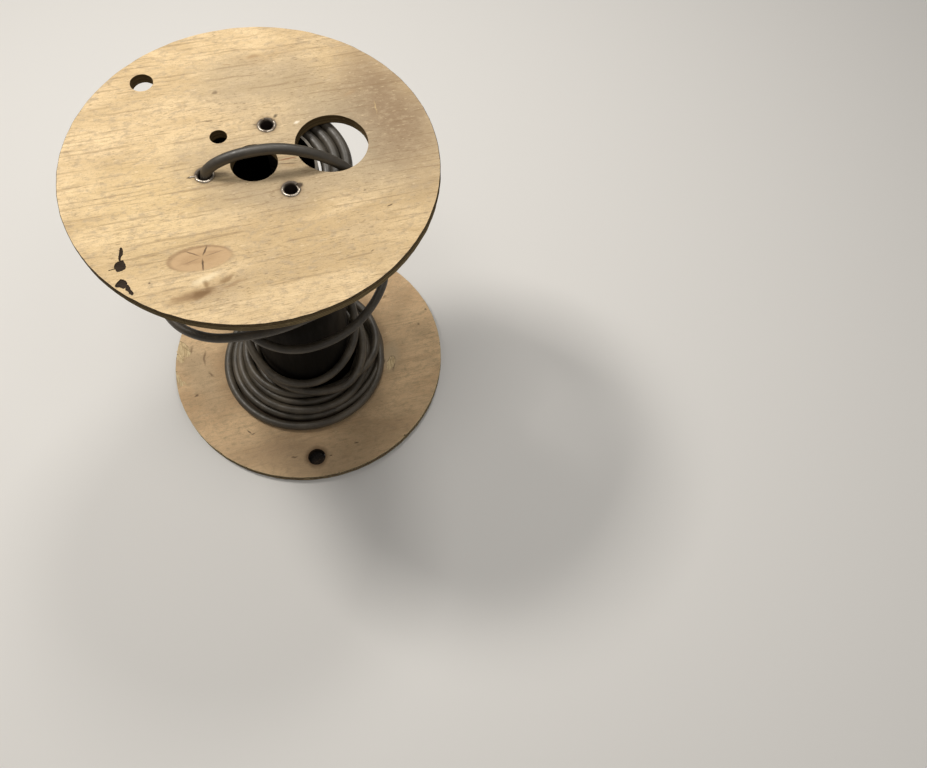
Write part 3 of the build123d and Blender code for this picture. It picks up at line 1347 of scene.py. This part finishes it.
@dataclass
class Drum:
    """The whole drum: two flanges, three ties, the barrel and the dirt in one hole."""

    record: dict
    start_hole: Spot = Spot(87.3, 0.0, 40.5, 40.5)
    tie_clearance: float = 0.15
    groove_depth: float = 2.5
    groove_clearance: float = 0.2
    barrel_wall: float = 3.0
    grain_angle: float = -5.2
    knot: tuple[float, float] = (-81.6, -101.3)

    def bored(self, name: str) -> Spot:
        """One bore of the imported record, as a spot.

        Args:
            name: The bore's name.

        Returns:
            Its place and radius.
        """
        mount = next(item for item in self.record["mounts"] if item["name"] == name)
        radius = mount["dims"]["r_mm"]
        return Spot(mount["pos_m"][0] / MM, mount["pos_m"][1] / MM, radius, radius)

    def tie_spots(self, reach: float) -> tuple[Spot, ...]:
        """A round spot on each tie.

        Args:
            reach: The spots' radius.

        Returns:
            The three spots.
        """
        spots = []
        for letter in "abc":
            low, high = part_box(f"tie_tube_{letter}")
            spots.append(Spot((low[0] + high[0]) / 2 / MM, (low[1] + high[1]) / 2 / MM, reach, reach))
        return tuple(spots)

    def groove(self, bottom: float) -> tuple[float, float, float, float]:
        """The ring groove that one end of the barrel stands in.

        Args:
            bottom: The height of its lower side.

        Returns:
            Its inner and outer radius and its lower and upper height.
        """
        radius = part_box("barrel")[1][0]
        inner = radius - (self.barrel_wall + self.groove_clearance) * MM
        return (inner, radius + self.groove_clearance * MM, bottom, bottom + self.groove_depth * MM)

    def upper_marks(self) -> tuple[Mark, ...]:
        """The stains, the knot, the cracks and the painted shade of the upper face.

        Returns:
            The marks, the lowest first.
        """
        crisp, ragged, cloudy = Bend
        grey, brown, darker_right = (0.4, 0.32, 0.215, 1.0), (0.4, 0.26, 0.135, 1.0), (0.31, 0.215, 0.13, 1.0)
        knot, ring, heart = (0.6, 0.41, 0.23, 1.0), (0.3, 0.18, 0.095, 1.0), (0.46, 0.3, 0.16, 1.0)
        gold, straw, bared = (0.78, 0.58, 0.27, 1.0), (0.82, 0.66, 0.42, 1.0), (0.9, 0.75, 0.5, 1.0)
        burnt, resin, umber = (0.33, 0.21, 0.105, 1.0), (0.22, 0.13, 0.06, 1.0), (0.3, 0.19, 0.09, 1.0)
        rust, dark, soot_and_shade = (0.3, 0.12, 0.06, 1.0), (0.08, 0.05, 0.03, 1.0), (0.035, 0.026, 0.02, 1.0)
        white, halo = (0.95, 0.86, 0.7, 1.0), (0.2, 0.14, 0.085, 1.0)
        grain = self.grain_angle
        marks = Mark.listed(
            # A paler patch on the left and two darker patches on the right: the face grows darker towards the
            # right.
            (-120, -20, 120, 110, 40, gold, 0.25, 0.1, cloudy),
            (130, 10, 130, 160, 60, grey, 0.95, 0.1, cloudy),
            (164, 30, 66, 160, 6, darker_right, 0.85, 0.15, cloudy),
            (10, -45, 110, 42, grain, grey, 0.6, 0.2, cloudy),
            (30, 115, 110, 60, grain, grey, 0.55, 0.2, cloudy),
            (55, 150, 60, 14, 8, brown, 0.25, 0.2, cloudy),
            (-20, 10, 95, 70, grain, grey, 0.5, 0.2, cloudy),
            (-84, -102.5, 34.5, 16.5, -7, ring, 0.4, 0.9, crisp),
            (-86, -100.8, 33.5, 15.6, -7, ring, 0.45, 0.9, crisp),
            (-83.4, -103.2, 32.2, 14.6, -7, knot, 0.8, 0.86, crisp),
            (-96, -104, 16, 3.4, -5, ring, 0.35, 0.2, ragged),
            (-70, -99, 13, 3, -12, ring, 0.3, 0.2, ragged),
            (-84.5, -102, 24, 9, -7, heart, 0.5, 0.5, crisp),
            (-92, -139, 46, 16, 8, brown, 0.4, 0.2, cloudy),
            (-84, -128, 22, 6, 12, bared, 0.75, 0.2, ragged),
            (-102, -144, 34, 8, 2, burnt, 0.8, 0.25, ragged),
            (-93, -143.5, 17, 6, 12, resin, 0.85, 0.25, ragged),
            (-86, -134.5, 5, 6.5, 0, umber, 0.8, 0.25, ragged),
            (-66, -135, 13, 3.4, 18, umber, 0.8, 0.25, ragged),
            (-60, -143, 20, 3, 14, brown, 0.6, 0.2, ragged),
            (-118, -141, 10, 2.4, -12, brown, 0.5, 0.2, ragged),
            (36, -6, 13.5, 1, -2, rust, 0.85, 0.4, crisp),
            (34, -12.5, 15, 1.1, -14, dark, 0.75, 0.3, crisp),
            (35, -15, 17, 4.5, -12, brown, 0.35, 0.2, ragged),
            (59.5, 41, 5.2, 3, 10, white, 0.8, 0.1, ragged),
            (41.5, 41, 13, 1.6, -3, straw, 0.45, 0.3, ragged),
            (120.7, -101.2, 4.6, 1.2, 12, dark, 0.85, 0.4, crisp),
            (101.5, -73.3, 2.4, 1.5, 0, dark, 0.6, 0.3, crisp),
            (-16, 109.6, 5, 3, 20, dark, 0.55, 0.2, ragged),
            (-13.5, 92, 3.4, 1.6, 0, dark, 0.45, 0.2, crisp),
            (-31, 71, 6.5, 1.8, -8, dark, 0.55, 0.2, ragged),
            (8.3, 147, 7, 1.2, -14, brown, 0.7, 0.3, crisp),
            (39, 150, 11, 4.5, 4, brown, 0.6, 0.2, ragged),
            (128.7, 63.7, 12, 4, 14, brown, 0.35, 0.2, ragged),
            (-89, -41.8, 6.5, 3, 0, brown, 0.4, 0.2, ragged),
            (-137.8, -114.9, 1.6, 1.3, 0, dark, 0.8, 0.4, crisp),
            (84.1, -150.7, 3.5, 1, 20, dark, 0.6, 0.3, crisp),
            (-69.1, 1.7, 4.5, 2, -4, soot_and_shade, 0.85, 0.3, crisp),
            # Painted shadow of the cable where it rises from the tie, with some soot.
            (-38, -4, 16, 7, -8, soot_and_shade, 0.5, 0.1, ragged),
            (39.5, 56.5, 4.6, 3, 40, soot_and_shade, 0.75, 0.2, crisp),
            (15, 51, 4, 2, 160, soot_and_shade, 0.6, 0.2, crisp),
            (37.5, -44.5, 5, 4.4, 15, soot_and_shade, 0.95, 0.4, crisp),
            (150, 35, 12, 1.2, 80, gold, 0.35, 0.3, ragged),
        )
        cracks = (
            (57.0, 16.0, 1.4, 0.85),
            (-101.0, 19.5, 1.4, 0.85),
            (140.0, 22.5, 1.0, 0.7),
            (4.0, 25.0, 0.8, 0.4),
            (-172.0, 22.0, 0.8, 0.35),
        )
        for bearing, length, width, strength in cracks:
            turn = math.radians(bearing)
            x = self.knot[0] + math.cos(turn) * length / 2
            y = self.knot[1] + math.sin(turn) * length / 2
            marks.append(Mark(Spot(x, y, length / 2, width, bearing), dark, strength, 0.35, crisp))
        # Two dark rings round each tie lip: dirt, with painted shade where the lip meets the face.
        for spot in self.tie_spots(17.0):
            marks.append(Mark(spot, halo, 0.55, 0.45, ragged))
        for spot in self.tie_spots(12.6):
            marks.append(Mark(spot, soot_and_shade, 0.6, 0.75, crisp))
        return tuple(marks)

    def lower_marks(self) -> tuple[Mark, ...]:
        """The dirt, the cracks, the knocks and the painted shade of the lower flange.

        Returns:
            The marks, the lowest first.
        """
        crisp, ragged, cloudy = Bend
        pale, mud_and_shade, dried_mud_and_shade = (0.6, 0.47, 0.3, 1.0), (0.3, 0.215, 0.13, 1.0), (0.32, 0.23, 0.145, 1.0)
        brown, dark = (0.2, 0.125, 0.07, 1.0), (0.035, 0.022, 0.014, 1.0)
        marks = Mark.listed(
            (-165, 30, 34, 100, 12, pale, 0.5, 0.2, cloudy),
            (115, -45, 34, 20, 60, pale, 0.6, 0.3, ragged),
            # The two front patches darken the front of the flange: mud, with painted shade of the upper
            # flange.
            (55, -170, 150, 70, 20, mud_and_shade, 0.4, 0.1, ragged),
            (-72, -160, 150, 62, -30, dried_mud_and_shade, 0.5, 0.2, ragged),
            # Darker towards the middle, round the barrel.
            (0, 0, 158, 158, 0, brown, 0.5, 0.7, cloudy),
            (160, 50, 60, 26, 75, brown, 0.3, 0.2, cloudy),
            # Painted shade with some dirt under the cable pile, so the gaps between its turns show dark.
            (-8, -5, 121, 121, 0, dark, 0.94, 0.93, crisp),
            (101, -50.7, 9, 4.5, 40, dark, 0.85, 0.2, ragged),
            (114, -62, 12, 3, 70, dark, 0.6, 0.2, ragged),
            (-122.6, -93.5, 6, 1.5, -60, dark, 0.75, 0.3, crisp),
            (-118, -98.5, 4.6, 1.2, 10, dark, 0.65, 0.3, crisp),
            (-179.9, -8.5, 4, 2.2, 20, dark, 0.7, 0.2, ragged),
            (-170, 69, 4, 13, -34, brown, 0.65, 0.2, ragged),
            (-152.5, 50, 2.6, 19, -12, brown, 0.7, 0.2, ragged),
            (-149.7, 18.7, 2.4, 9.5, 28, brown, 0.65, 0.2, ragged),
            (-21.2, -172, 3.6, 1.8, 10, dark, 0.8, 0.2, ragged),
            (-72.2, -155.7, 7, 2, -8, dark, 0.6, 0.2, ragged),
            (20.4, -166, 4.6, 2, 0, dark, 0.7, 0.2, ragged),
            (142.4, 61.1, 6, 2.4, 30, dark, 0.5, 0.2, ragged),
            (196.5, 17.1, 3, 2, 0, dark, 0.7, 0.2, ragged),
            (176, -5, 3.4, 2.2, 0, dark, 0.7, 0.2, ragged),
        )
        hole = self.bored("drive_hole_lower")
        marks.append(Mark(Spot(hole.x, hole.y, 21.0, 20.0), brown, 0.8, 0.6, ragged))
        return tuple(marks)

    def upper(self) -> Flange:
        """The flange on top.

        Returns:
            The flange, not yet built.
        """
        holes = [self.bored(name) for name in ("arbor_bore", "drive_hole_upper", "spare_hole")]
        tie_radius = Tie("tie_tube_a").wall + self.tie_clearance
        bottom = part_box("flange_upper")[0][2]
        bottle = (
            Spot(-160.4, -85.5, 5.2, 7.2, -24.0),
            Spot(-157.0, -71.5, 1.7, 8.6, -22.0),
            Spot(-168.0, -87.0, 4.6, 0.8, 5.0),
        )
        blot = (Spot(-163.4, -107.0, 5.6, 5.4, -10.0), Spot(-157.8, -116.8, 2.8, 6.8, 14.0))
        return Flange(
            node="flange_upper",
            slot="plywood_upper",
            face=VeneerFace(
                "veneer_upper",
                pale=(0.84, 0.645, 0.385, 1.0),
                deep=(0.62, 0.455, 0.25, 1.0),
                pore=(0.26, 0.17, 0.09, 1.0),
                dust=(0.48, 0.37, 0.24, 1.0),
                fleck=(0.93, 0.76, 0.5, 1.0),
                grain_angle=self.grain_angle,
                pores=0.75,
                dirt=0.4,
                mottled=0.75,
                streaked=1.0,
                seed=3.1,
                marks=self.upper_marks(),
            ),
            edge=SawnEdge(
                "sawn_edge_flange_upper",
                "flange_upper",
                light=(0.46, 0.35, 0.18, 1.0),
                dark=(0.24, 0.175, 0.088, 1.0),
                chipped=(0.6, 0.46, 0.26, 1.0),
                bored=(0.1, 0.06, 0.022, 1.0),
                soiled=0.5,
            ),
            torn=TornWood(
                "bared_wood_upper", (0.05, 0.036, 0.026, 1.0), (0.02, 0.014, 0.01, 1.0), self.grain_angle
            ),
            holes=(*holes, self.start_hole, *self.tie_spots(tie_radius)),
            grooves=(self.groove(bottom - 0.00001),),
            missing=(bottle, blot),
            chips=(
                Spot(-172.0, -108.5, 3.0, 1.6, -58.0),
                Spot(202.6, 22.0, 3.4, 1.2, 96.0),
                Spot(176.0, -102.5, 4.2, 1.3, 60.0),
                Spot(-118.0, -166.0, 3.4, 1.2, -36.0),
                Spot(48.0, -198.0, 5.0, 1.2, 14.0),
                Spot(-193.0, 66.0, 3.6, 1.2, 71.0),
            ),
        )

    def lower(self) -> Flange:
        """The flange on the floor.

        Returns:
            The flange, not yet built.
        """
        holes = [self.bored(name) for name in ("arbor_bore", "drive_hole_lower")]
        tie = Tie("tie_tube_a")
        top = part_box("flange_lower")[1][2]
        torn_rim = (
            Spot(-180.0, 77.0, 8.5, 17.0, 26.0),
            Spot(-186.5, 62.0, 5.0, 9.0, 18.0),
            Spot(-197.0, 28.0, 3.6, 14.0, 9.0),
        )
        gouge = (Spot(112.0, -56.0, 6.0, 13.0, -34.0),)
        slivers = (
            Spot(-193.6, 26.7, 1.6, 14.5, 19.0),
            Spot(-176.0, 79.0, 1.5, 12.0, 30.0),
            Spot(-186.0, 66.0, 1.2, 11.0, 20.0),
            Spot(113.0, -54.0, 1.2, 11.0, -30.0),
        )
        return Flange(
            node="flange_lower",
            slot="plywood_lower",
            face=VeneerFace(
                "veneer_lower",
                pale=(0.84, 0.6, 0.35, 1.0),
                deep=(0.66, 0.45, 0.255, 1.0),
                pore=(0.16, 0.1, 0.055, 1.0),
                dust=(0.48, 0.35, 0.21, 1.0),
                fleck=(0.9, 0.7, 0.46, 1.0),
                grain_angle=self.grain_angle,
                pores=0.3,
                dirt=0.6,
                mottled=0.6,
                streaked=0.4,
                seed=8.3,
                marks=self.lower_marks(),
            ),
            # The lower edge is painted far darker than the upper one: dirt, with painted shade of its unlit
            # side and of the contact shadow on the floor.
            edge=SawnEdge(
                "sawn_edge_flange_lower",
                "flange_lower",
                light=(0.085, 0.056, 0.03, 1.0),
                dark=(0.03, 0.02, 0.012, 1.0),
                chipped=(0.5, 0.42, 0.32, 1.0),
                bored=(0.05, 0.032, 0.018, 1.0),
                soiled=0.2,
            ),
            torn=TornWood("bared_wood_lower", (0.8, 0.64, 0.38, 1.0), (0.5, 0.36, 0.2, 1.0), 80.0),
            holes=(*holes, *self.tie_spots(tie.wall + self.tie_clearance)),
            pockets=self.tie_spots(tie.lip + self.tie_clearance),
            grooves=(self.groove(top - self.groove_depth * MM + 0.00001),),
            missing=(torn_rim, gouge),
            chips=(
                Spot(-66.0, -191.5, 6.0, 1.8, -18.0),
                Spot(-40.0, -199.0, 5.0, 1.6, -11.0),
                Spot(-20.0, -202.0, 4.2, 1.5, -5.0),
                Spot(-128.0, -157.0, 3.4, 1.5, -39.0),
                Spot(-172.0, -108.0, 4.0, 1.6, -57.0),
                Spot(196.0, -52.0, 4.0, 1.5, 75.0),
                Spot(184.0, 85.0, 5.0, 1.6, 116.0),
                Spot(90.0, -181.0, 4.0, 1.5, 26.0),
                Spot(-60.0, 194.0, 5.0, 1.6, 17.0),
            ),
            slivers=slivers,
            steps=(0.1, 0.5, 0.2, 0.55, 0.15),
        )

    def ties(self) -> tuple[Tie, ...]:
        """The three ties.

        Returns:
            The ties, not yet built.
        """
        low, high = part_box("tie_tube_c")
        x, y = (low[0] + high[0]) / 2 / MM, (low[1] + high[1]) / 2 / MM
        split = Spot(x + 9.2, y + 0.8, 4.6, 3.8, 5.0)
        return (
            Tie("tie_tube_a", splits=(Spot(25.0, 57.0, 3.0, 1.6, 100.0), Spot(35.6, 51.5, 1.2, 2.0, 30.0))),
            Tie("tie_tube_b", horns=(Spot(-66.5, 1.6, 3.4, 1.0, -6.0),)),
            Tie("tie_tube_c", splits=(split,)),
        )

    def build(self) -> None:
        """Build every piece and report it."""
        for flange in (self.lower(), self.upper()):
            LOG.info("built %s", flange.build().name)
        for tie in self.ties():
            LOG.info("built %s", tie.build().name)
        LOG.info("built %s", HoleDirt(self.bored("drive_hole_lower")).build().name)

    def finish_barrel(self, barrel: bpy.types.Object) -> None:
        """Give the CAD barrel its finish."""
        barrel.data.materials.clear()
        barrel.data.materials.append(BarrelFinish("barrel_black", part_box("barrel")[1][2]).make())


def main() -> None:
    """Load the frame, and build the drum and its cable."""
    logging.basicConfig(level=logging.INFO, format="%(name)s: %(message)s")
    noise.seed_set(NOISE_SEED)
    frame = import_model()
    bpy.context.scene.view_settings.view_transform = "Standard"
    ViewPoint().build()
    Cable(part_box("flange_upper")[0][2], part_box("flange_lower")[1][2]).build()
    drum = Drum(frame["record"])
    drum.build()
    drum.finish_barrel(frame["nodes"]["barrel"])
    Studio().build()


if __name__ == "__main__":
    main()
